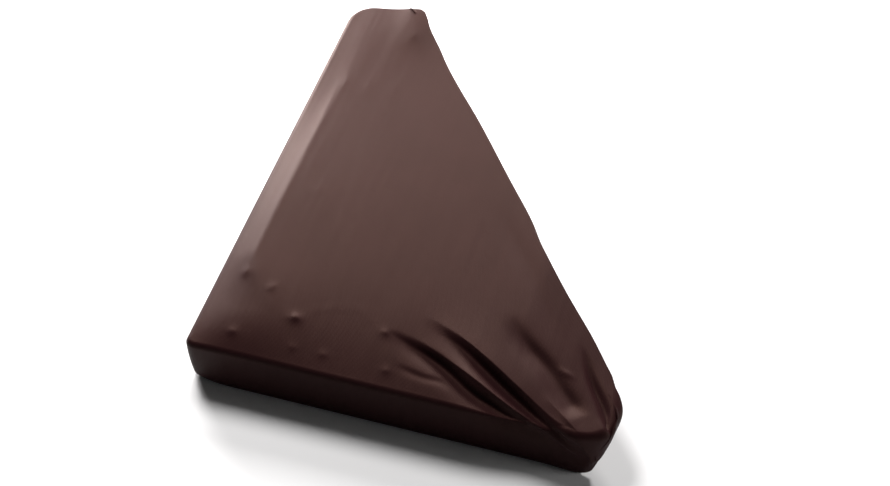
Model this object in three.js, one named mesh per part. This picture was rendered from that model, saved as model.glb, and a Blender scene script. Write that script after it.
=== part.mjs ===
import * as THREE from 'three';

// Audio mixer cover: one piece of stretch cloth pulled over the left side and the front of a
// sloping, wedge-shaped hollow. Its elastic hem runs tight from the back edge to the front right
// corner and turns under the bottom edge all the way round the rest.
// Millimetres. x runs right from the middle, y back from the front wall, z up from the table.
// The group then moves the middle of the cloth's underside, at `hold`, to the origin.

const width = 388;
const depth = 471;
const frontHeight = 47;
const backHeight = 102;
const cloth = 1.5;

// The hem is a turned edge, thicker than the cloth.
const hemThickness = 2.3;
const hemWidth = 10;

// How far the cloth stands over the sloping plane, and how far inside each edge it gets there.
// The left flank is wider near the front.
const crown = 13;
const crownIn = { left: 29, right: 90, front: 85 };
const crownInFrontLeft = 65;

// The crown's right flank starts this far inside the right edge.
const crownRightStart = 4;

// Between two places along y the crown sinks to the back's own, lower one, which grows by
// `backRise` for each millimetre to the right of `backFrom`.
const sinks = [150, 400];
const backCrown = 4;
const backFrom = -170;
const backRise = 0.05;

// The hump that the back end of the hem stands on, with its half widths.
const hump = { x: -116, y: 466, height: 6, wide: 24, long: 32 };

// How rounded the ridge along the crown's left side is, and where it changes along y.
const ridgeRound = { front: 0.5, middle: 0.12, back: 0.3 };
const crispFrom = [45, 110];
const crispTo = [300, 380];

// Radii in section of the four top edges, of the bottom edge, and of its corners.
const edgeRadius = { left: 6, right: 9, front: 8, back: 6 };
const bottomRadius = 2.5;
const bottomCornerRadius = 6;

// How far the foot of the wall is drawn in at a corner, and how far along the sides that reaches.
const cornerTuck = 4;
const cornerReach = 20;

// The lip that is turned under, and its rounder corners, which the elastic cuts across.
const lip = 24;
const lipCorner = 10;

// Corner radii in plan of the flat top, inside the rounded edges.
const corner = { backLeft: 18, frontLeft: 4, frontRight: 12 };

// The middle of the cloth's top, in plan. All rays of the sheet's grid start here.
const middle = new THREE.Vector2(-60, 200);

// The hem over the top, in plan, from the front right to the back. It is pulled almost straight.
const topHem = [
  { x: 181, y: 74 },
  { x: 159, y: 102 },
  { x: 124, y: 141 },
  { x: 92, y: 183 },
  { x: 72, y: 214 },
  { x: 37, y: 260 },
  { x: -11, y: 323 },
  { x: -44, y: 364.5 },
  { x: -65.5, y: 394 },
  { x: -80.5, y: 417 },
  { x: -99.5, y: 442 },
];

// The wrapped part of the hem. `side` and `along` say where round the outline it is, with along
// from 0 to 1, and `down` how far over the edge: 1 is the end of the rounding, 2 the foot of the
// wall, 3 the start of the lip and 4 the full lip. `rays` is the number of grid rays up to there.
const wrappedHem = [
  { side: 'back', along: 0.842, down: 0.5, rays: 0 },
  { side: 'back', along: 0.856, down: 1.1, rays: 2 },
  { side: 'back', along: 0.9, down: 2.0, rays: 3 },
  { side: 'back', along: 0.937, down: 2.9, rays: 2 },
  { side: 'back', along: 1.0, down: 3.3, rays: 2 },
  { side: 'backLeft', along: 0.5, down: 3.7, rays: 3 },
  { side: 'backLeft', along: 1.0, down: 4.0, rays: 3 },
  { side: 'left', along: 1.0, down: 4.0, rays: 17 },
  { side: 'frontLeft', along: 1.0, down: 4.0, rays: 4 },
  { side: 'front', along: 0.42, down: 4.0, rays: 12 },
  { side: 'front', along: 0.9, down: 4.0, rays: 20 },
  { side: 'front', along: 1.0, down: 3.2, rays: 3 },
  { side: 'frontRight', along: 0.12, down: 2.6, rays: 1 },
  { side: 'frontRight', along: 0.55, down: 1.85, rays: 3 },
  { side: 'frontRight', along: 1.0, down: 1.15, rays: 4 },
  { side: 'right', along: 0.035, down: 1.02, rays: 2 },
  { side: 'right', along: 0.08, down: 0.35, rays: 3 },
];
const topHemRays = 29;

// Grid rings from the middle out: shares of the way to the rounded edge, then the rings on the
// rounding, the wall, the foot and the lip. One ring lies on the crown's left ridge.
const ridgeShare = 0.82;
const topShares = [
  0.2, 0.4, 0.54, 0.63, 0.705, 0.766, ridgeShare, 0.844, 0.872, 0.899, 0.925, 0.951, 0.976, 1,
];
const wrapRings = [4, 4, 2, 2];
const wraps = wrapRings.reduce((sum, count) => sum + count);

// Where the hem lies above the lip, the rings that have no part of their own are this far apart.
const hemStep = 1.2;

// On a ray that ends at the hem over the top, the wrap's rings lie in this last share of it, less
// on the few rays at either end of that hem.
const hemShare = 0.16;
const hemShareAtEnds = 0.03;
const endRays = 7;

// Wide, soft swellings of the cloth: the pouch at the right corner and the point of the hem.
const swellings = [
  { at: [197, 39, 36], radius: 23, height: 9.5 },
  { at: [173, 2, 5], radius: 18, height: 4.2 },
];

// Folds pulled out of the front right corner, as a curve through three places, with the height
// over the cloth where it is most, at the share `peak` of the way. Troughs have a negative height.
const folds = [
  { from: [172, 0, 25], over: [109, 12, 49], to: [30, 46, 61], wide: 8, height: 2.8, peak: 0.2 },
  { from: [170, 0, 27], over: [104, 26, 55], to: [5, 71, 68], wide: 9, height: -5, peak: 0.3 },
  { from: [142, 2, 39], over: [87, 14, 51], to: [-20, 54, 64], wide: 10, height: -3.6, peak: 0.45 },
  { from: [182, 0, 23], over: [157, 13, 48], to: [112, 42, 58], wide: 9, height: 2.6, peak: 0.2 },
  { from: [164, 26, 50], over: [134, 62, 61], to: [90, 102, 72], wide: 11, height: -3.4, peak: 0.45 },
  { from: [195, 14, 30], over: [189, 32, 53], to: [164, 80, 60], wide: 7, height: -3.8, peak: 0.35 },
  { from: [191, 4, 12], over: [197, 24, 44], to: [180, 64, 57], wide: 6, height: 2, peak: 0.5 },
];

// Small points pushed up from below, near the front left corner.
const pokes = [
  { x: -163, y: 85, height: 2 },
  { x: -134, y: 71, height: 1.8 },
  { x: -103, y: 47, height: 3 },
];
const pokeRadius = 9;

// The place under the cloth's top that the cover is held by.
const hold = { x: -60, y: 200 };

const sides = ['back', 'backLeft', 'left', 'frontLeft', 'front', 'frontRight', 'right'];
const half = width / 2;
const slope = (backHeight - frontHeight) / depth;
const lerp = THREE.MathUtils.lerp;
const clamp = THREE.MathUtils.clamp;

function smooth(t) {
  const s = clamp(t, 0, 1);
  return s * s * (3 - 2 * s);
}

// The smaller of two numbers, rounded over where they are alike.
function softMin(a, b, round) {
  const h = clamp(0.5 + (0.5 * (b - a)) / round, 0, 1);
  return lerp(b, a, h) - round * h * (1 - h);
}

// 0 before the first of two places and 1 after the second, with a smooth rise between.
function ramp(value, [from, to]) {
  return smooth((value - from) / (to - from));
}

function planeHeight(y) {
  return frontHeight + slope * y;
}

// Height of the taut cloth over the sloping plane: a flat crown with straight flanks.
function crownHeight(x, y) {
  const crisp = lerp(ridgeRound.front, ridgeRound.middle, ramp(y, crispFrom));
  const rounding = lerp(crisp, ridgeRound.back, ramp(y, crispTo));
  const left = (x + half) / lerp(crownInFrontLeft, crownIn.left, ramp(y, crispFrom));
  const right = (half - crownRightStart - x) / crownIn.right;
  const front = Math.sin((Math.PI / 2) * clamp(y / crownIn.front, 0, 1));
  const back = Math.min(backCrown + backRise * (x - backFrom), crown);
  const level = lerp(crown, back, ramp(y, sinks));
  const across = Math.max(softMin(softMin(left, right, ridgeRound.middle), 1, rounding), 0);
  const overHump = ((x - hump.x) / hump.wide) ** 2 + ((y - hump.y) / hump.long) ** 2;
  return (level + hump.height * Math.exp(-overHump)) * across * front;
}

function topPoint(plan) {
  const height = planeHeight(plan.y) + crownHeight(plan.x, plan.y);
  return new THREE.Vector3(plan.x, plan.y, height);
}

// A point of a rounded outline in plan, and the outward direction there.
// `inset` is its distance inside each outer edge, and `radius` its corner radius.
function outlinePoint(side, along, inset, radius) {
  const right = half - inset.right;
  const left = -half + inset.left;
  const front = inset.front;
  const back = depth - inset.back;
  const turn = (cx, cy, r, start) => {
    const angle = start + (along * Math.PI) / 2;
    const out = new THREE.Vector2(Math.cos(angle), Math.sin(angle));
    return { at: new THREE.Vector2(cx, cy).addScaledVector(out, r), out };
  };
  const run = (x0, y0, x1, y1, nx, ny) => ({
    at: new THREE.Vector2(lerp(x0, x1, along), lerp(y0, y1, along)),
    out: new THREE.Vector2(nx, ny),
  });
  const { backLeft, frontLeft, frontRight } = radius;
  switch (side) {
    case 'back': return run(right, back, left + backLeft, back, 0, 1);
    case 'backLeft': return turn(left + backLeft, back - backLeft, backLeft, Math.PI / 2);
    case 'left': return run(left, back - backLeft, left, front + frontLeft, -1, 0);
    case 'frontLeft': return turn(left + frontLeft, front + frontLeft, frontLeft, Math.PI);
    case 'front': return run(left + frontLeft, front, right - frontRight, front, 0, -1);
    case 'frontRight': return turn(right - frontRight, front + frontRight, frontRight, -Math.PI / 2);
    default: return run(right, front + frontRight, right, back, 1, 0);
  }
}

// 1 at a corner of the outline, falling to 0 along its sides.
function cornerNearness(at) {
  const away = Math.hypot(half - Math.abs(at.x), Math.min(at.y, depth - at.y));
  return Math.exp(-((away / cornerReach) ** 2));
}

// The section of the wrap at one place of the outline: the rounding of the top edge, the wall, the
// rounding of the foot and the lip, with their lengths and the place at a distance down the cloth.
function wrapSection(side, along) {
  const { at, out } = outlinePoint(side, along, edgeRadius, corner);
  const across = out.x * out.x;
  const lengthwise = out.y * out.y;
  const round =
    across * (out.x < 0 ? edgeRadius.left : edgeRadius.right) +
    lengthwise * (out.y < 0 ? edgeRadius.front : edgeRadius.back);
  const cornered = cornerNearness(at);
  const foot = lerp(bottomRadius, bottomCornerRadius, cornered);
  const tuck = cornerTuck * cornered;
  const lips = { left: lip, right: lip, front: lip, back: lip };
  const lipCorners = { backLeft: lipCorner, frontLeft: lipCorner, frontRight: lipCorner };
  const lipEnd = outlinePoint(side, along, lips, lipCorners).at;
  const top = planeHeight(at.y);
  const wallTop = top - round;
  const outer = at.clone().addScaledVector(out, round);
  const footStart = outer.clone().addScaledVector(out, -tuck);
  const footEnd = footStart.clone().addScaledVector(out, -foot);
  const lengths = [
    (round * Math.PI) / 2,
    wallTop - foot,
    (foot * Math.PI) / 2,
    footEnd.distanceTo(lipEnd),
  ];
  const starts = [0, lengths[0], lengths[0] + lengths[1], lengths[0] + lengths[1] + lengths[2]];
  const total = starts[3] + lengths[3];

  function place(s) {
    let part = 3;
    while (part > 0 && s < starts[part]) part -= 1;
    const t = clamp((s - starts[part]) / lengths[part], 0, 1);
    const angle = (t * Math.PI) / 2;
    if (part === 0) {
      const p = at.clone().addScaledVector(out, round * Math.sin(angle));
      const z = top - round * (1 - Math.cos(angle));
      return new THREE.Vector3(p.x, p.y, z + crownHeight(p.x, p.y));
    }
    if (part === 1) {
      const p = outer.clone().lerp(footStart, t * t);
      const z = lerp(wallTop, foot, t);
      return new THREE.Vector3(p.x, p.y, z + crownHeight(outer.x, outer.y) * (1 - t));
    }
    if (part === 2) {
      const p = footStart.clone().addScaledVector(out, -foot * (1 - Math.cos(angle)));
      return new THREE.Vector3(p.x, p.y, foot * (1 - Math.sin(angle)));
    }
    const p = footEnd.clone().lerp(lipEnd, t);
    return new THREE.Vector3(p.x, p.y, 0);
  }

  // Distance down the cloth of a `down` value, as the hem's table gives it.
  function reach(down) {
    const part = Math.min(Math.floor(down), 3);
    return starts[part] + (down - part) * lengths[part];
  }

  return { at, starts, lengths, total, place, reach };
}

// One ray of the grid that goes over the edge: across the top, then down the wrap to the hem.
function wrappedRay(side, along, down) {
  const section = wrapSection(side, along);
  const reach = section.reach(down);
  const points = topShares.map((share) => topPoint(middle.clone().lerp(section.at, share)));
  const step = Math.min(hemStep, reach / (2 * wraps));
  let left = wraps;
  let from = 0;
  wrapRings.forEach((count, part) => {
    left -= count;
    const to = Math.min(section.starts[part] + section.lengths[part], reach - left * step);
    for (let k = 1; k <= count; k += 1) points.push(section.place(lerp(from, to, k / count)));
    from = to;
  });
  return points;
}

// One ray of the grid that ends at the hem over the top, with as many rings.
function topRay(end, share) {
  const shares = topShares.map((s) => s * (1 - share));
  for (let k = 1; k <= wraps; k += 1) shares.push(1 - share * (1 - k / wraps));
  return shares.map((s) => topPoint(middle.clone().lerp(end, s)));
}

// The rays round the sheet: over the wrapped sides first, then along the hem over the top.
const roundOff = 1e-6;

function allRays() {
  const rays = [];
  const position = (row) => sides.indexOf(row.side) + row.along;
  wrappedHem.forEach((row, index) => {
    const before = wrappedHem[Math.max(index - 1, 0)];
    const count = index === 0 ? 1 : row.rays;
    for (let k = 1; k <= count; k += 1) {
      const t = k / count;
      const spot = lerp(position(before), position(row), t);
      const side = Math.max(Math.ceil(spot - roundOff) - 1, 0);
      rays.push(wrappedRay(sides[side], spot - side, lerp(before.down, row.down, t)));
    }
  });
  const curve = new THREE.SplineCurve(topHem.map(({ x, y }) => new THREE.Vector2(x, y)));
  const last = topHemRays - 1;
  for (let k = 0; k <= last; k += 1) {
    const share = lerp(hemShareAtEnds, hemShare, smooth(Math.min(k, last - k) / endRays));
    rays.push(topRay(curve.getPointAt(k / last), share));
  }
  return rays;
}

// A fold's curve through its three places, as short straight steps.
const foldSteps = 24;

function foldPath({ from, over, to }) {
  const curve = new THREE.CatmullRomCurve3([from, over, to].map((p) => new THREE.Vector3(...p)));
  return curve.getSpacedPoints(foldSteps);
}

const foldPaths = folds.map(foldPath);
const closest = new THREE.Vector3();
const step = new THREE.Line3();

// How far the folds, swellings and pokes move a point of the cloth outward.
function relief(point) {
  let out = 0;
  folds.forEach(({ wide, height, peak }, index) => {
    const path = foldPaths[index];
    let best = Infinity;
    let place = 0;
    for (let k = 0; k + 1 < path.length; k += 1) {
      step.set(path[k], path[k + 1]);
      const t = step.closestPointToPointParameter(point, true);
      const away = step.at(t, closest).distanceTo(point);
      if (away < best) {
        best = away;
        place = (k + t) / (path.length - 1);
      }
    }
    const fade = place < peak ? smooth(place / peak) : 1 - smooth((place - peak) / (1 - peak));
    out += height * Math.exp(-((best / wide) ** 2)) * fade;
  });
  swellings.forEach(({ at, radius, height }) => {
    const away = point.distanceTo(closest.set(...at));
    out += height * Math.exp(-((away / radius) ** 2));
  });
  pokes.forEach(({ x, y, height }) => {
    const away = Math.hypot(point.x - x, point.y - y);
    const onTop = point.z > planeHeight(point.y) - edgeRadius.front ? 1 : 0;
    out += onTop * height * Math.exp(-((away / pokeRadius) ** 2));
  });
  return out;
}

function facing(a, b, c) {
  return new THREE.Triangle(a, b, c).getNormal(new THREE.Vector3());
}

// The faces of the outer side: a fan at the middle, then a band between each two rings, each of
// its quads cut along the diagonal that bends the cloth least.
function gridFaces(points, rayCount, ringCount) {
  const faces = [];
  const id = (ray, ring) => 1 + (ray % rayCount) * ringCount + ring;
  for (let ray = 0; ray < rayCount; ray += 1) {
    faces.push([0, id(ray, 0), id(ray + 1, 0)]);
    for (let ring = 0; ring + 1 < ringCount; ring += 1) {
      const a = id(ray, ring);
      const b = id(ray, ring + 1);
      const c = id(ray + 1, ring + 1);
      const d = id(ray + 1, ring);
      const [p, q, r, s] = [a, b, c, d].map((index) => points[index]);
      const alongAC = facing(p, q, r).dot(facing(p, r, s));
      const alongBD = facing(p, q, s).dot(facing(q, r, s));
      if (alongAC > alongBD) faces.push([a, b, c], [a, c, d]);
      else faces.push([a, b, d], [b, c, d]);
    }
  }
  return faces;
}

function pointNormals(points, faces) {
  const geometry = new THREE.BufferGeometry().setFromPoints(points);
  geometry.setIndex(faces.flat());
  geometry.computeVertexNormals();
  const normal = geometry.getAttribute('normal');
  return points.map((_, index) => new THREE.Vector3().fromBufferAttribute(normal, index));
}

// The closed sheet: its outer side, its inner side one thickness in, and the cut edge between.
function coverGeometry() {
  const rays = allRays();
  const ringCount = rays[0].length;
  const outer = [topPoint(middle), ...rays.flat()];
  const flatNormals = pointNormals(outer, gridFaces(outer, rays.length, ringCount));
  const moves = outer.map((point) => relief(point));
  outer.forEach((point, index) => {
    point.addScaledVector(flatNormals[index], moves[index]);
    point.z = Math.max(point.z, 0);
  });

  const faces = gridFaces(outer, rays.length, ringCount);
  const normals = pointNormals(outer, faces);
  const toHem = [Infinity];
  rays.forEach((ray) => {
    let away = 0;
    const distances = ray.map(() => 0);
    for (let ring = ringCount - 2; ring >= 0; ring -= 1) {
      away += ray[ring].distanceTo(ray[ring + 1]);
      distances[ring] = away;
    }
    toHem.push(...distances);
  });
  const inner = outer.map((point, index) => {
    const thickness = toHem[index] <= hemWidth ? hemThickness : cloth;
    return point.clone().addScaledVector(normals[index], -thickness);
  });

  const shift = outer.length;
  const innerFaces = faces.map(([a, b, c]) => [a + shift, c + shift, b + shift]);
  const edgeFaces = [];
  for (let ray = 0; ray < rays.length; ray += 1) {
    const a = (ray + 1) * ringCount;
    const b = (((ray + 1) % rays.length) + 1) * ringCount;
    edgeFaces.push([a, a + shift, b + shift], [a, b + shift, b]);
  }
  const geometry = new THREE.BufferGeometry().setFromPoints([...outer, ...inner]);
  geometry.setIndex([...faces, ...innerFaces, ...edgeFaces].flat());
  geometry.computeVertexNormals();
  return geometry;
}

const stretchCloth = new THREE.MeshStandardMaterial({
  color: 0x3a2c29,
  roughness: 0.62,
  metalness: 0,
});

const cover = new THREE.Mesh(coverGeometry(), stretchCloth);
cover.name = 'cover';

const holdHeight = planeHeight(hold.y) + crownHeight(hold.x, hold.y) - cloth;
const group = new THREE.Group();
group.position.set(-hold.x, -hold.y, -holdHeight);
group.add(cover);

export default group;
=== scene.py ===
import math

import bpy
import numpy as np
from mathutils import Matrix, Vector


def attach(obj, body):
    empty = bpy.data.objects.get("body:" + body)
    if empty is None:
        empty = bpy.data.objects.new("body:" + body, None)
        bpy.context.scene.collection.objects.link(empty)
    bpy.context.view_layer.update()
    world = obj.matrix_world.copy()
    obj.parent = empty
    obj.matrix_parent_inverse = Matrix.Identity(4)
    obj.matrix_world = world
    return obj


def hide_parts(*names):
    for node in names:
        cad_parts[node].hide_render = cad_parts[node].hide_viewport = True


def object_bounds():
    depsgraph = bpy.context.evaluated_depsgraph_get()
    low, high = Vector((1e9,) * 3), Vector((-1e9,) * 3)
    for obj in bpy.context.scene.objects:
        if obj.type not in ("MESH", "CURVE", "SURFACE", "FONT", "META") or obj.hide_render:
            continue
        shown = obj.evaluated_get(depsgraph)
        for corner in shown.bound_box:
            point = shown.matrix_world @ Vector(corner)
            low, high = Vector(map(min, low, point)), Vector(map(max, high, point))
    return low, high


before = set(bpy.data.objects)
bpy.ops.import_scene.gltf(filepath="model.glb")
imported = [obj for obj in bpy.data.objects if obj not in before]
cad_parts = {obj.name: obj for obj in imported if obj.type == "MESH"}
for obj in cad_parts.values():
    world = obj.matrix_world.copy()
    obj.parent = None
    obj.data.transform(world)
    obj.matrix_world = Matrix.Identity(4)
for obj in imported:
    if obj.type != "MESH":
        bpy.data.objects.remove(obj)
cad_low, cad_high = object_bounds()
for thing in bpy.context.selected_objects:
    thing.select_set(False)

# Audio mixer cover: one sheet of stretch cloth, drawn tight over the left side and the front of a
# sloping hollow. Sizes are millimetres: x right from the middle, y back from the front wall, z up
# from the table. The sheet is moved at the end so that HOLD lies at the origin, as in the frame.
MM = 0.001
HOLD = np.array([-60.0, 200.0, 81.4906])

WIDTH = 388.0
DEPTH = 471.0
FRONT_HEIGHT = 47.0
BACK_HEIGHT = 102.0
HALF = WIDTH / 2
SLOPE = (BACK_HEIGHT - FRONT_HEIGHT) / DEPTH

# Knitted cloth is thin. The hem is the cloth turned over an elastic and back along itself, as a band
# that stays this far inside the front and the back wall.
CLOTH = 0.8
HEM_RADIUS = 1.25
HEM_WIDTH = 9.0
BAND_INSIDE = 3.0

# The taut cloth stands this far over the slope, and all but gets there this far inside each edge.
CROWN = 13.0
CROWN_IN = {"left": 29.0, "right": 90.0, "front": 85.0}
CROWN_RIGHT_START = 4.0

# Near the front left corner it rises faster from the front edge, and more slowly from the left one.
# The first turns into the usual rise between these two places along x. The last number is how
# steeply it leaves the front edge.
CROWN_IN_LEFT_AT_FRONT = 46.0
CROWN_IN_FRONT_AT_LEFT = 38.0
FRONT_WIDENS = (-195.0, -30.0)
FRONT_STEEPNESS = 1.4

# Between these two places along y it sinks to a lower plane that rises to the right.
SINKS = (150.0, 400.0)
CROWN_BACK = 4.0
CROWN_BACK_FROM = -170.0
CROWN_BACK_RISE = 0.05

# The hump that the back end of the hem stands on: place in plan, height and half widths.
HUMP_AT = (-116.0, 466.0)
HUMP = 6.0
HUMP_REACH = (26.0, 50.0)

# How round the ridge over the left flank is: softest at the front, crisp in the middle. It changes
# from one to the next between these places along y.
RIDGE_ROUND = {"front": 0.6, "middle": 0.10, "back": 0.3}
RIDGE_CRISP_FROM = (45.0, 110.0)
RIDGE_CRISP_TO = (300.0, 380.0)

# The rounding between the top and each wall, and of the corners in plan. The foot of a wall is
# rounded too, more so at the corners, where the wall also leans in by the tuck. The lip is turned
# under all round.
EDGE_RADIUS = {"left": 6.0, "right": 9.0, "front": 5.0, "back": 6.0}
CORNER = {"back_left": 18.0, "front_left": 4.0, "front_right": 12.0}
BOTTOM_RADIUS = 2.5
BOTTOM_CORNER_RADIUS = 6.0
CORNER_TUCK = 4.0
CORNER_REACH = 20.0
LIP = dict.fromkeys(EDGE_RADIUS, 24.0)
LIP_CORNER = dict.fromkeys(CORNER, 10.0)

# At the front right corner the taut cloth sinks and its wall leans back: how far, and over what
# distance from the corner.
CORNER_DROP = 1.0
DROP_REACH = 14.0
CORNER_LEAN = 5.0
LEAN_REACH = 20.0

# Where the rays of the mesh start, in plan.
MIDDLE = (-60.0, 200.0)

# The hem over the top in plan, from the front right to the back.
TOP_HEM = [
    (182.8, 68.6), (180, 73), (158.3, 101.4), (123.8, 140.7), (91, 182.1), (71.1, 213.2),
    (36.1, 259.2), (-11.7, 323.4), (-44.3, 364.8), (-66, 394), (-80.9, 416.6), (-99.4, 441.8),
    (-106.5, 454.5), (-112, 463),
]

# The wrapped part of the hem: the side of the outline, the share of the way along it, how far over
# the edge the hem lies there (1 the end of the rounding, 2 the foot of the wall, 3 the start of the
# lip, 4 the whole lip), and the rays of the mesh up to there.
WRAPPED_HEM = [
    ("back", 0.848, 0.12, 1),
    ("back", 0.857, 0.5, 3),
    ("back", 0.872, 1.1, 5),
    ("back", 0.91, 2.0, 8),
    ("back", 0.94, 2.9, 5),
    ("back", 1.0, 3.3, 8),
    ("back_left", 0.5, 3.7, 8),
    ("back_left", 1.0, 4.0, 8),
    ("left", 1.0, 4.0, 92),
    ("front_left", 1.0, 4.0, 8),
    ("front", 0.5, 4.0, 64),
    ("front", 0.9, 4.0, 84),
    ("front", 1.0, 3.2, 20),
    ("front_right", 0.12, 2.6, 4),
    ("front_right", 0.55, 1.85, 10),
    ("front_right", 1.0, 1.15, 10),
    ("right", 0.035, 1.02, 6),
    ("right", 0.08, 0.35, 8),
    ("right", 0.091, 0.12, 2),
]
TOP_HEM_RAYS = 96
SIDES = ["back", "back_left", "left", "front_left", "front", "front_right", "right"]

# Rings of the mesh: over three parts of each ray on the top, as shares of its length, then over the
# rounding, the wall, the foot and the lip, at least this step apart where there is room.
TOP_RINGS = [(0.0, 0.5, 9), (0.5, 0.7, 11), (0.7, 1.0, 40)]
WRAP_RINGS = (10, 14, 4, 4)
WRAPS = sum(WRAP_RINGS)
HEM_STEP = 0.5

# A ray that ends at the hem over the top has as many rings, the last of them in this share of its
# length, which is smaller over the first and last few rays.
HEM_SHARE = 0.16
HEM_SHARE_AT_ENDS = 0.012
END_RAYS = 24

# Rings round the turned hem and along its band, and how often the hem's direction is evened.
TURN_RINGS = 5
BAND_RINGS = 4
EVEN_PASSES = 3

# Steps of a curve between two of its points, and points along a fold. Points of the mesh that are
# closer than the last, in metres, become one.
CURVE_STEPS = 20
FOLD_POINTS = 60
MERGE_WITHIN = 0.00001


def smooth(t):
    """Rises from 0 to 1 with a level start and end."""
    t = np.clip(t, 0.0, 1.0)
    return t * t * (3 - 2 * t)


def mix(a, b, t):
    """The value at the share t of the way from a to b."""
    return a + (b - a) * t


def soft_min(a, b, rounding):
    """The smaller of two values, rounded where they cross."""
    h = np.clip(0.5 + 0.5 * (b - a) / rounding, 0, 1)
    return mix(b, a, h) - rounding * h * (1 - h)


def plane_height(y):
    """Height of the sloping plane under the crown."""
    return FRONT_HEIGHT + SLOPE * y


def ramp(value, ends):
    """Rises from 0 at the first end to 1 at the second."""
    return smooth((value - ends[0]) / (ends[1] - ends[0]))


def crown_height(x, y):
    """Height of the taut cloth over the sloping plane: a flat crown, straight flanks and a hump."""
    crisp = mix(RIDGE_ROUND["front"], RIDGE_ROUND["middle"], ramp(y, RIDGE_CRISP_FROM))
    rounding = mix(crisp, RIDGE_ROUND["back"], ramp(y, RIDGE_CRISP_TO))
    left = (x + HALF) / mix(CROWN_IN_LEFT_AT_FRONT, CROWN_IN["left"], ramp(y, RIDGE_CRISP_FROM))
    right = (HALF - CROWN_RIGHT_START - x) / CROWN_IN["right"]
    front_in = mix(CROWN_IN_FRONT_AT_LEFT, CROWN_IN["front"], ramp(x, FRONT_WIDENS))
    front = np.tanh(FRONT_STEEPNESS * np.maximum(y, 0) / front_in)
    back = CROWN_BACK + CROWN_BACK_RISE * (x - CROWN_BACK_FROM)
    level = mix(CROWN, np.minimum(back, CROWN), ramp(y, SINKS))
    across = np.maximum(soft_min(soft_min(left, right, RIDGE_ROUND["middle"]), 1, rounding), 0)
    hump_x, hump_y = HUMP_AT
    hump = np.exp(-(((x - hump_x) / HUMP_REACH[0]) ** 2) - ((y - hump_y) / HUMP_REACH[1]) ** 2)
    return (level + HUMP * hump) * across * front


def top_point(x, y):
    """The point of the top over one place in plan."""
    return [x, y, plane_height(y) + crown_height(x, y)]


def outline_point(side, along, inset, radius):
    """A point of a rounded outline in plan, and the outward direction there."""
    right, left = HALF - inset["right"], -HALF + inset["left"]
    front, back = inset["front"], DEPTH - inset["back"]

    def turn(cx, cy, r, start):
        angle = start + along * math.pi / 2
        out = (math.cos(angle), math.sin(angle))
        return (cx + r * out[0], cy + r * out[1]), out

    bl, fl, fr = radius["back_left"], radius["front_left"], radius["front_right"]
    if side == "back":
        return (mix(right, left + bl, along), back), (0, 1)
    if side == "back_left":
        return turn(left + bl, back - bl, bl, math.pi / 2)
    if side == "left":
        return (left, mix(back - bl, front + fl, along)), (-1, 0)
    if side == "front_left":
        return turn(left + fl, front + fl, fl, math.pi)
    if side == "front":
        return (mix(left + fl, right - fr, along), front), (0, -1)
    if side == "front_right":
        return turn(right - fr, front + fr, fr, -math.pi / 2)
    return (right, mix(front + fr, back, along)), (1, 0)


def wrap_section(side, along):
    """The section of the wrap at one place of the outline, as its start in plan, the starts and
    lengths of its rounding, wall, foot and lip, and its places in space and on the flat cloth."""
    (ax, ay), (ox, oy) = outline_point(side, along, EDGE_RADIUS, CORNER)
    rounding = ox * ox * EDGE_RADIUS["left" if ox < 0 else "right"]
    rounding += oy * oy * EDGE_RADIUS["front" if oy < 0 else "back"]
    away = math.hypot(HALF - abs(ax), min(ay, DEPTH - ay))
    cornered = math.exp(-((away / CORNER_REACH) ** 2))
    foot = mix(BOTTOM_RADIUS, BOTTOM_CORNER_RADIUS, cornered)
    tuck = CORNER_TUCK * cornered
    lip_end = outline_point(side, along, LIP, LIP_CORNER)[0]
    top = plane_height(ay)
    wall_top = top - rounding
    wall_x, wall_y = ax + ox * rounding, ay + oy * rounding
    foot_x, foot_y = wall_x - ox * (tuck + foot), wall_y - oy * (tuck + foot)
    lip_length = math.hypot(lip_end[0] - foot_x, lip_end[1] - foot_y)
    lengths = [rounding * math.pi / 2, wall_top - foot, foot * math.pi / 2, lip_length]
    starts = [0, lengths[0], lengths[0] + lengths[1], sum(lengths[:3])]

    def place(s):
        """The point this far along the section."""
        part = max(k for k in range(4) if s >= starts[k])
        t = min((s - starts[part]) / lengths[part], 1)
        if part == 0:
            reach = rounding * math.sin(t * math.pi / 2)
            x, y = ax + ox * reach, ay + oy * reach
            drop = rounding * (1 - math.cos(t * math.pi / 2))
            return [x, y, top - drop + crown_height(x, y)]
        if part == 1:
            x, y = wall_x - ox * tuck * t * t, wall_y - oy * tuck * t * t
            return [x, y, mix(wall_top, foot, t) + crown_height(wall_x, wall_y) * (1 - t)]
        if part == 2:
            reach = tuck + foot * (1 - math.cos(t * math.pi / 2))
            return [wall_x - ox * reach, wall_y - oy * reach, foot * (1 - math.sin(t * math.pi / 2))]
        return [mix(foot_x, lip_end[0], t), mix(foot_y, lip_end[1], t), 0.0]

    def flat(s):
        """The same point with the cloth laid flat, level with the top."""
        return [ax + ox * s, ay + oy * s]

    return (ax, ay), starts, lengths, place, flat


def top_shares():
    """Where the rings lie along the part of a ray on the top."""
    parts = [np.linspace(start, stop, count, endpoint=False) for start, stop, count in TOP_RINGS]
    return np.concatenate(parts + [[1.0]])


def wrapped_ray(side, along, down):
    """One ray of the mesh that goes over the edge, with its places on the flat cloth."""
    at, starts, lengths, place, flat = wrap_section(side, along)
    part = min(int(down), 3)
    reach = starts[part] + (down - part) * lengths[part]
    plan = [[mix(MIDDLE[0], at[0], t), mix(MIDDLE[1], at[1], t)] for t in top_shares()]
    points = [top_point(x, y) for x, y in plan]
    step = min(HEM_STEP, reach / (2 * WRAPS))
    left, start = WRAPS, 0.0
    for part, count in enumerate(WRAP_RINGS):
        left -= count
        stop = min(starts[part] + lengths[part], reach - left * step)
        for k in range(1, count + 1):
            s = mix(start, stop, k / count)
            points.append(place(s))
            plan.append(flat(s))
        start = stop
    return points, plan


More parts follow.
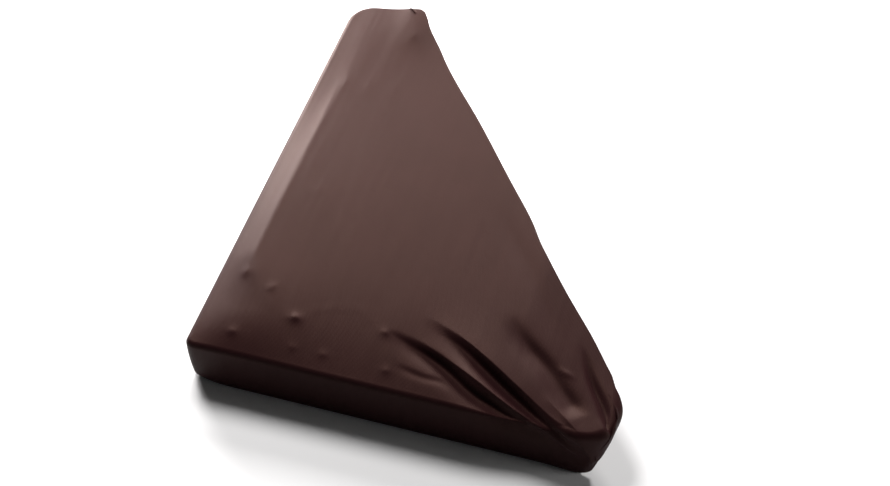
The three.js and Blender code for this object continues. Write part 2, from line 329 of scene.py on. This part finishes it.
def top_ray(end, share):
    """One ray of the mesh that ends at the hem over the top, with as many rings."""
    shares = [t * (1 - share) for t in top_shares()]
    shares += [1 - share * (1 - k / WRAPS) for k in range(1, WRAPS + 1)]
    plan = [[mix(MIDDLE[0], end[0], t), mix(MIDDLE[1], end[1], t)] for t in shares]
    return [top_point(x, y) for x, y in plan], plan


def smooth_line(points, count):
    """Evenly spaced points on a Catmull-Rom curve through the given ones."""
    p = np.array(points, float)
    p = np.vstack([2 * p[0] - p[1], p, 2 * p[-1] - p[-2]])
    fine = []
    for k in range(len(p) - 3):
        a, b, c, d = p[k:k + 4]
        for t in np.linspace(0, 1, CURVE_STEPS, endpoint=False):
            fine.append(0.5 * (2 * b + (c - a) * t + (2 * a - 5 * b + 4 * c - d) * t ** 2
                               + (3 * b - a - 3 * c + d) * t ** 3))
    fine = np.array(fine + [p[-2]])
    steps = np.r_[0, np.cumsum(np.linalg.norm(np.diff(fine, axis=0), axis=1))]
    at = np.linspace(0, steps[-1], count)
    return np.stack([np.interp(at, steps, fine[:, k]) for k in range(p.shape[1])], axis=1)


def all_rays():
    """The rays round the sheet: over the wrapped sides first, then along the hem over the top."""
    rays = []
    before = None
    for side, along, down, count in WRAPPED_HEM:
        spot = SIDES.index(side) + along
        if before is None:
            before = (spot, down)
        for k in range(1, count + 1):
            t = k / count
            here = mix(before[0], spot, t)
            index = max(math.ceil(here - 1e-6) - 1, 0)
            rays.append(wrapped_ray(SIDES[index], here - index, mix(before[1], down, t)))
        before = (spot, down)
    for k, end in enumerate(smooth_line(TOP_HEM, TOP_HEM_RAYS)):
        from_end = min(k, TOP_HEM_RAYS - 1 - k)
        share = mix(HEM_SHARE_AT_ENDS, HEM_SHARE, smooth(from_end / END_RAYS))
        rays.append(top_ray(end, share))
    return rays


# Folds drawn out of the front right corner and along the edges. Each is a line through places on
# the cloth, its height (troughs are negative), its half width to the left and to the right of the
# line as it runs, and how crisp it is: 2 is a soft swell and 1 a sharp crest. It grows over the
# share `peak` of its length and fades from the share `hold` on.
FOLDS = {
    "lower ridge": dict(
        height=3.4, left=2.6, right=7.0, crisp=1.15, peak=0.10, hold=0.55,
        line=[
            (180, 0, 22), (165, 2, 30), (137, 4, 44), (109, 12, 49),
            (65, 31, 57), (35, 44, 61), (0, 58, 65),
        ],
    ),
    "long trough": dict(
        height=-6.2, left=9.0, right=2.8, crisp=1.9, peak=0.14, hold=0.45,
        line=[
            (172, 0, 26), (157, 1, 41), (139, 7, 47), (105.5, 25, 54),
            (74, 43.5, 60), (47, 58, 64), (5, 74, 69),
        ],
    ),
    "trough bank": dict(
        height=5.2, left=2.6, right=25.0, crisp=1.25, peak=0.42, hold=0.5,
        line=[
            (174, 2, 38), (159, 6, 46), (141, 13, 50), (108, 31, 56),
            (76, 49.5, 61), (49, 64, 65), (7, 81, 70),
        ],
    ),
    "low trough": dict(
        height=-7.0, left=11.0, right=3.6, crisp=1.8, peak=0.3, hold=0.6,
        line=[
            (150, 1, 36), (120, 4, 45), (87, 13, 51), (68, 20, 53),
            (37, 37, 59), (6, 47, 62), (-26, 56, 64),
        ],
    ),
    "small trough": dict(
        height=-1.0, left=4.0, right=3.0, crisp=2.0, peak=0.3, hold=0.6,
        line=[(56, 15, 52), (42, 20, 54), (25, 20, 54), (-5, 25, 56)],
    ),
    "tip ridge": dict(
        height=2.2, left=3.0, right=12.0, crisp=1.2, peak=0.12, hold=0.6,
        line=[
            (187, 0, 8), (182, 0, 23), (173, 2, 38), (166, 6, 45),
            (157, 13, 48), (147, 20, 51), (130, 31, 55),
        ],
    ),
    "soft trough": dict(
        height=-4.4, left=12.0, right=6.5, crisp=2.0, peak=0.15, hold=0.6,
        line=[
            (170, 18, 50), (157, 31, 53), (146, 41, 55), (130, 57, 60),
            (104, 76, 67), (80, 101, 72),
        ],
    ),
    "small wrinkle": dict(
        height=1.0, left=2.0, right=2.4, crisp=1.5, peak=0.4, hold=0.5,
        line=[(137, 62, 61), (143, 58, 59), (150, 56, 58), (157, 54, 57)],
    ),
    "right trough": dict(
        height=-5.8, left=3.4, right=3.0, crisp=1.7, peak=0.2, hold=0.5,
        line=[
            (194, 10, 36), (191, 17, 49), (185, 27, 52), (174, 48, 55),
            (161, 74, 59), (151, 91, 62),
        ],
    ),
    "right ridge": dict(
        height=0.7, left=2.4, right=2.4, crisp=1.7, peak=0.3, hold=0.5,
        line=[(195, 12, 28), (195, 20, 44), (190, 33, 53), (178, 59, 57), (168, 79, 60)],
    ),
    "hem trough": dict(
        height=-0.8, left=12.0, right=8.0, crisp=2.0, peak=0.3, hold=0.6,
        line=[(135, 78, 66), (112, 114, 73), (88, 153, 78), (57, 194, 82), (30, 230, 86)],
    ),
    "arc": dict(
        height=0.12, left=5.0, right=5.0, crisp=2.0, peak=0.3, hold=0.7,
        line=[(-21, 52, 64), (-35, 61, 66), (-50, 69, 67), (-81, 61, 66), (-100, 43, 62)],
    ),
}

# Wide swells, and the way each moves the cloth: the pouch at the right corner and the hem's point.
SWELLS = [
    dict(at=(196, 40, 42), radius=24, way=(8.0, 0, 0)),
    dict(at=(176, 2, 6), radius=18, way=(1.5, -3.4, 0)),
    dict(at=(192, 7, 44), radius=15, way=(2.6, -2.0, 1.6)),
]

# Small points pushed up from below: place in plan, height, half width, and half length along y.
POKES = [
    dict(at=(-164, 83), height=1.1, width=4.0, length=3.5),
    dict(at=(-134, 71), height=1.0, width=3.6, length=3.2),
    dict(at=(-102, 46), height=2.2, width=5.0, length=4.2),
    dict(at=(-153, 20), height=1.2, width=4.0, length=3.6),
    dict(at=(-95, 19), height=0.6, width=3.4, length=3.2),
    dict(at=(-66, 19), height=0.8, width=3.4, length=3.2),
    dict(at=(-19, 53), height=1.2, width=4.0, length=3.6),
    dict(at=(-7, 18), height=0.9, width=3.6, length=3.4),
    dict(at=(-161, 347), height=0.6, width=5.0, length=9.0),
    dict(at=(-136, 347), height=0.5, width=5.0, length=10.0),
    dict(at=(-108, 350), height=0.4, width=5.0, length=10.0),
    dict(at=(-104, 316), height=0.4, width=4.0, length=6.0),
    dict(at=(-112, 428), height=1.2, width=7.0, length=11.0),
    dict(at=(-136, 193), height=0.4, width=6.0, length=6.0),
]

# The crests of the folds that are crisper than `PINCH_BELOW` draw the mesh in by this share, so that
# they stay sharp. It fades out over a distance to the side, and over a share of the fold's length.
PINCH_BELOW = 1.5
PINCH = 0.65
PINCH_REACH = 5.0
PINCH_ENDS = 0.05

# Cloth that lies up to this far over or under a fold's line counts as level with it. The pokes move
# only the top, down to this far under the sloping plane, and this is how crisp they are.
OFF_SURFACE = 4.0
TOP_BELOW = 13.0
POKE_CRISP = 1.3


def fold_place(fold, points, normals):
    """Where each point lies by a fold: distance, share of the way along, side, and the way to it."""
    line = smooth_line(fold["line"], FOLD_POINTS)
    near = np.full(len(points), np.inf)
    place = np.zeros(len(points))
    side = np.zeros(len(points))
    way = np.zeros(points.shape)
    for k in range(len(line) - 1):
        a, run = line[k], line[k + 1] - line[k]
        t = np.clip(((points - a) @ run) / (run @ run), 0, 1)
        apart = points - (a + t[:, None] * run)
        off = np.einsum("ij,ij->i", apart, normals)
        across = apart - off[:, None] * normals
        away = np.hypot(np.linalg.norm(across, axis=1), np.maximum(np.abs(off) - OFF_SURFACE, 0))
        closer = away < near
        near[closer] = away[closer]
        place[closer] = (k + t[closer]) / (len(line) - 1)
        side[closer] = np.einsum("ij,ij->i", np.cross(normals[closer], run), apart[closer])
        way[closer] = across[closer]
    return near, place, side, way


def gathered(points, normals):
    """The points, drawn along the surface towards the crests of the sharp folds."""
    for fold in FOLDS.values():
        if fold["crisp"] < PINCH_BELOW:
            near, place, _, way = fold_place(fold, points, normals)
            held = smooth(place / PINCH_ENDS) * smooth((1 - place) / PINCH_ENDS)
            points = points - way * (PINCH * held * np.exp(-((near / PINCH_REACH) ** 2)))[:, None]
    return points


def fold_relief(points, normals):
    """How far the folds move each point of the cloth along its normal."""
    moved = np.zeros(len(points))
    for fold in FOLDS.values():
        near, place, side, _ = fold_place(fold, points, normals)
        width = np.where(side > 0, fold["left"], fold["right"])
        fade = smooth(place / fold["peak"]) * (1 - smooth((place - fold["hold"]) / (1 - fold["hold"])))
        moved += fold["height"] * fade * np.exp(-((near / width) ** fold["crisp"]))
    return moved


def swelled(points):
    """The points, moved by the wide swells."""
    moved = points.copy()
    for swell in SWELLS:
        away = np.linalg.norm(points - np.array(swell["at"]), axis=1)
        moved += np.exp(-((away / swell["radius"]) ** 2))[:, None] * np.array(swell["way"])
    return moved


def poke_relief(points):
    """How far the pokes move each point."""
    moved = np.zeros(len(points))
    on_top = points[:, 2] > plane_height(points[:, 1]) - TOP_BELOW
    for poke in POKES:
        x, y = poke["at"]
        away = np.hypot((points[:, 0] - x) / poke["width"], (points[:, 1] - y) / poke["length"])
        moved += on_top * poke["height"] * np.exp(-(away ** POKE_CRISP))
    return moved


def sunk_corner(points):
    """The points, lowered and leant back round the front right corner."""
    x, y, z = points[..., 0], points[..., 1], points[..., 2]
    away = np.hypot(HALF - x, y)
    share = np.clip(z / plane_height(y), 0, 1)
    lower = CORNER_DROP * share * np.exp(-((away / DROP_REACH) ** 2))
    back = CORNER_LEAN * share * np.exp(-((away / LEAN_REACH) ** 2))
    return np.stack([x, y + back, z - lower], axis=-1)


def evened(rows):
    """The rows of a closed ring, each averaged with its neighbours."""
    for _ in range(EVEN_PASSES):
        rows = (np.roll(rows, 1, axis=0) + 2 * rows + np.roll(rows, -1, axis=0)) / 4
    return rows


def grid_normals(points):
    """Unit normals of a grid of rays and rings, closed round the rays."""
    round_way = np.roll(points, -1, axis=0) - np.roll(points, 1, axis=0)
    out_way = np.gradient(points, axis=1)
    normals = np.cross(out_way, round_way)
    # The rays all start at one point of the sloping top.
    normals[:, 0] = (0, -SLOPE, 1)
    return normals / np.linalg.norm(normals, axis=2, keepdims=True)


def cover_points():
    """The cloth's outer side as a grid of rays and rings, with the turned hem, and its flat plan."""
    rays = all_rays()
    points = np.array([ray for ray, plan in rays])
    plan = np.array([plan for ray, plan in rays])
    normals = grid_normals(points).reshape(-1, 3)
    gathered_points = gathered(points.reshape(-1, 3), normals)
    moved = fold_relief(gathered_points, normals) + poke_relief(gathered_points)
    points = swelled(gathered_points + normals * moved[:, None]).reshape(points.shape)
    points = sunk_corner(points)
    points[..., 2] = np.maximum(points[..., 2], 0)

    # The hem turns down round the elastic and runs back under the cloth as a band.
    normals = grid_normals(points)
    end, up = points[:, -1], normals[:, -1]
    along = evened(np.roll(end, -1, axis=0) - np.roll(end, 1, axis=0))
    out = np.cross(along, up)
    out /= np.linalg.norm(out, axis=1, keepdims=True)
    rings, plans = [points], [plan]
    for k in range(1, TURN_RINGS + 1):
        angle = math.pi * k / TURN_RINGS
        ring = end + HEM_RADIUS * ((math.cos(angle) - 1) * up + math.sin(angle) * out)
        rings.append(ring[:, None])
        plans.append((plan[:, -1] + out[:, :2] * HEM_RADIUS * angle)[:, None])
    for k in range(1, BAND_RINGS + 1):
        across = HEM_WIDTH * k / BAND_RINGS
        ring = end - 2 * HEM_RADIUS * up - out * across
        ring[:, 1] = np.clip(ring[:, 1], BAND_INSIDE, DEPTH - BAND_INSIDE)
        rings.append(ring[:, None])
        plans.append((plan[:, -1] + out[:, :2] * (HEM_RADIUS * math.pi + across))[:, None])
    return np.concatenate(rings, axis=1), np.concatenate(plans, axis=1)


def make_cover():
    """A grid whose columns are the rays, closed into a sheet and then given its thickness."""
    points, plan = cover_points()
    ray_count, ring_count = points.shape[:2]
    points = np.concatenate([points, points[:1]])
    plan = np.concatenate([plan, plan[:1]])
    bpy.ops.mesh.primitive_grid_add(x_subdivisions=ray_count, y_subdivisions=ring_count - 1, size=2)
    cover = bpy.context.object
    cover.name = "cover_cloth"
    mesh = cover.data
    ordered = np.swapaxes((points - HOLD) * MM, 0, 1).reshape(-1, 3)
    mesh.vertices.foreach_set("co", ordered.ravel())
    flat = np.swapaxes(plan * MM, 0, 1).reshape(-1, 2)
    corners = np.zeros(len(mesh.loops), int)
    mesh.loops.foreach_get("vertex_index", corners)
    mesh.uv_layers[0].name = "flat_cloth"
    mesh.uv_layers[0].data.foreach_set("uv", flat[corners].ravel())
    mesh.update()
    bpy.ops.object.mode_set(mode="EDIT")
    bpy.ops.mesh.select_all(action="SELECT")
    bpy.ops.mesh.remove_doubles(threshold=MERGE_WITHIN)
    bpy.ops.mesh.flip_normals()
    bpy.ops.object.mode_set(mode="OBJECT")
    wall = cover.modifiers.new("cloth thickness", "SOLIDIFY")
    wall.thickness = CLOTH * MM
    wall.offset = -1
    wall.use_even_offset = False
    bpy.ops.object.modifier_apply(modifier=wall.name)
    bpy.ops.object.shade_smooth()
    return cover


# The knit in real sizes, in metres. Its rows are drawn wider than the 0.6 mm of fine knitwear, so
# that they still read at arm's length. A band of the wave texture is WAVE_TURN wide at scale 1.
WAVE_TURN = math.pi / 10
WALE_PITCH = 0.0013
COURSE_PITCH = 0.0011
KNIT_RELIEF = 0.00008
STREAK_WIDTH = 0.012
STREAK_STRETCH = 9.0
STREAK_RELIEF = 0.0004
PATCH_SIZE = 0.06

# The dye where it took more and less, and how rough and shiny the yarn is.
DYE_DARK = "#221315"
DYE_LIGHT = "#271518"
ROUGH_DARK = 0.53
ROUGH_LIGHT = 0.47
SHINE = 0.073
SHINE_TINT = "#ffd9b4"

# The floor: its colour and roughness, and in metres its width and how far it lies under the cloth.
PAPER = "#ddeef3"
PAPER_ROUGH = 0.9
FLOOR_SIZE = 8
FLOOR_BELOW = 0.0005


def linear(colour):
    """An sRGB hex colour as linear red, green and blue."""
    parts = [int(colour[k:k + 2], 16) / 255 for k in (1, 3, 5)]
    return [c / 12.92 if c <= 0.04045 else ((c + 0.055) / 1.055) ** 2.4 for c in parts] + [1.0]


def add(tree, kind, settings=None, inputs=None, links=None):
    """Adds a node, sets its properties and inputs, and links sockets into it."""
    node = tree.nodes.new(kind)
    for name, value in (settings or {}).items():
        setattr(node, name, value)
    for name, value in (inputs or {}).items():
        node.inputs[name].default_value = value
    for name, socket in (links or {}).items():
        tree.links.new(socket, node.inputs[name])
    return node


def bands(tree, place, direction, pitch):
    """Rounded bands of the given pitch in metres, across one direction of the flat cloth."""
    settings = dict(wave_type="BANDS", bands_direction=direction, wave_profile="SIN")
    inputs = {"Scale": WAVE_TURN / pitch, "Distortion": 0.0}
    return add(tree, "ShaderNodeTexWave", settings, inputs, {"Vector": place}).outputs["Fac"]


def clouds(tree, place, size, stretch, detail):
    """Soft noise of the given size in metres, drawn out along the cloth by the stretch."""
    spread = add(tree, "ShaderNodeVectorMath", dict(operation="MULTIPLY"), links={0: place})
    spread.inputs[1].default_value = (1 / size, 1 / (size * stretch), 1 / size)
    inputs = {"Scale": 1.0, "Detail": detail}
    return add(tree, "ShaderNodeTexNoise", {}, inputs, {"Vector": spread.outputs[0]}).outputs["Fac"]


def stretch_knit():
    """Knitted polyester with elastane, dyed a warm brown black. The rows of the knit give a fine
    grain close up, faint long streaks show how it is stretched, and the dye is a little uneven."""
    material = bpy.data.materials.new("stretch_knit")
    material.use_nodes = True
    tree = material.node_tree
    shader = tree.nodes["Principled BSDF"]
    place = add(tree, "ShaderNodeUVMap", dict(uv_map="flat_cloth")).outputs["UV"]

    # The wales run up the cloth and the courses across it, and together they make small stitches.
    wales = bands(tree, place, "X", WALE_PITCH)
    courses = bands(tree, place, "Y", COURSE_PITCH)
    stitches = add(tree, "ShaderNodeMath", dict(operation="MULTIPLY"), links={0: wales, 1: courses})
    knit = add(tree, "ShaderNodeBump", inputs={"Strength": 1.0, "Distance": KNIT_RELIEF},
               links={"Height": stitches.outputs[0]})

    # Long streaks where the elastane pulls more or less, as a very shallow unevenness.
    streaks = clouds(tree, place, STREAK_WIDTH, STREAK_STRETCH, 1.0)
    pulled = add(tree, "ShaderNodeBump", inputs={"Strength": 1.0, "Distance": STREAK_RELIEF},
                 links={"Height": streaks, "Normal": knit.outputs["Normal"]})
    tree.links.new(pulled.outputs["Normal"], shader.inputs["Normal"])

    # The dye: darker and lighter by a few parts in a hundred, in patches as wide as a palm.
    patches = clouds(tree, place, PATCH_SIZE, 1.0, 3.0)
    dye = add(tree, "ShaderNodeMix", dict(data_type="RGBA"), links={0: patches})
    dye.inputs[6].default_value = linear(DYE_DARK)
    dye.inputs[7].default_value = linear(DYE_LIGHT)
    tree.links.new(dye.outputs[2], shader.inputs["Base Color"])
    dull = add(tree, "ShaderNodeMapRange", links={"Value": patches})
    dull.inputs["To Min"].default_value = ROUGH_DARK
    dull.inputs["To Max"].default_value = ROUGH_LIGHT
    tree.links.new(dull.outputs[0], shader.inputs["Roughness"])
    shader.inputs["Specular IOR Level"].default_value = SHINE
    shader.inputs["Specular Tint"].default_value = linear(SHINE_TINT)
    return material


def make_floor(height):
    """Matt white paper, faintly blue, so that it looks white under the warm lights."""
    bpy.ops.mesh.primitive_plane_add(size=FLOOR_SIZE, location=(0, 0, height))
    floor = bpy.context.object
    floor.name = "floor"
    material = bpy.data.materials.new("matt_white_paper")
    material.use_nodes = True
    shader = material.node_tree.nodes["Principled BSDF"]
    shader.inputs["Base Color"].default_value = linear(PAPER)
    shader.inputs["Roughness"].default_value = PAPER_ROUGH
    floor.data.materials.append(material)


# The camera stands to the front right of the cover, above it, turned a little to the left. Its place
# is in metres, its turns in radians, its lens and sensor in millimetres.
CAMERA_AT = (0.35395, -1.01223, 0.96946)
CAMERA_YAW = 0.29000
CAMERA_PITCH = 0.7626
CAMERA_ROLL = 0.0092
CAMERA_LENS = 61.087
SENSOR_WIDTH = 36.0


def make_camera():
    """The camera, at the angle that the cover is shown from."""
    data = bpy.data.cameras.new("camera")
    data.lens = CAMERA_LENS
    data.sensor_width = SENSOR_WIDTH
    camera = bpy.data.objects.new("camera", data)
    bpy.context.scene.collection.objects.link(camera)
    turn = Matrix.Rotation(CAMERA_YAW, 4, "Z") @ Matrix.Rotation(math.pi / 2 - CAMERA_PITCH, 4, "X")
    camera.matrix_world = Matrix.Translation(CAMERA_AT) @ turn @ Matrix.Rotation(CAMERA_ROLL, 4, "Z")
    bpy.context.scene.camera = camera


# Soft lights as wide as this many metres, this far from a middle. Each has its way round from the
# back towards the right and its height, in degrees, and its watts. All have one warm white.
STUDIO_MIDDLE = (0.03, 0.03, -0.02)
LIGHT_AWAY = 1.7
LIGHT_SIZE = 0.7
WARM_WHITE = "#ffece7"
STUDIO_GLOW = 0.04
LIGHTS = {
    "back_light": (0, 32, 53),
    "low_left_light": (315, 12, 73),
    "high_left_light": (315, 55, 41),
    "right_light": (90, 12, 9),
}


def soft_light(name, round_way, height, power):
    """A round lamp that faces the middle of the studio."""
    turn, lift = math.radians(round_way), math.radians(height)
    way = Vector((math.sin(turn) * math.cos(lift), math.cos(turn) * math.cos(lift), math.sin(lift)))
    bpy.ops.object.light_add(type="AREA", location=Vector(STUDIO_MIDDLE) + way * LIGHT_AWAY)
    light = bpy.context.object
    light.name = name
    light.data.shape = "DISK"
    light.data.size = LIGHT_SIZE
    light.data.energy = power
    light.data.color = linear(WARM_WHITE)[:3]
    light.rotation_euler = (-way).to_track_quat("-Z", "Y").to_euler()


def make_lights():
    """The lamps, a faint glow from all round, and colours shown as they are."""
    for name, (round_way, height, power) in LIGHTS.items():
        soft_light(name, round_way, height, power)
    world = bpy.data.worlds.new("studio")
    world.use_nodes = True
    background = world.node_tree.nodes["Background"]
    background.inputs["Color"].default_value = linear(WARM_WHITE)
    background.inputs["Strength"].default_value = STUDIO_GLOW
    bpy.context.scene.world = world
    bpy.context.scene.view_settings.view_transform = "Standard"


cover = make_cover()
cover.data.materials.append(stretch_knit())
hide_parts("cover")
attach(cover, "root")
make_floor(cad_low[2] - FLOOR_BELOW)
make_camera()
make_lights()
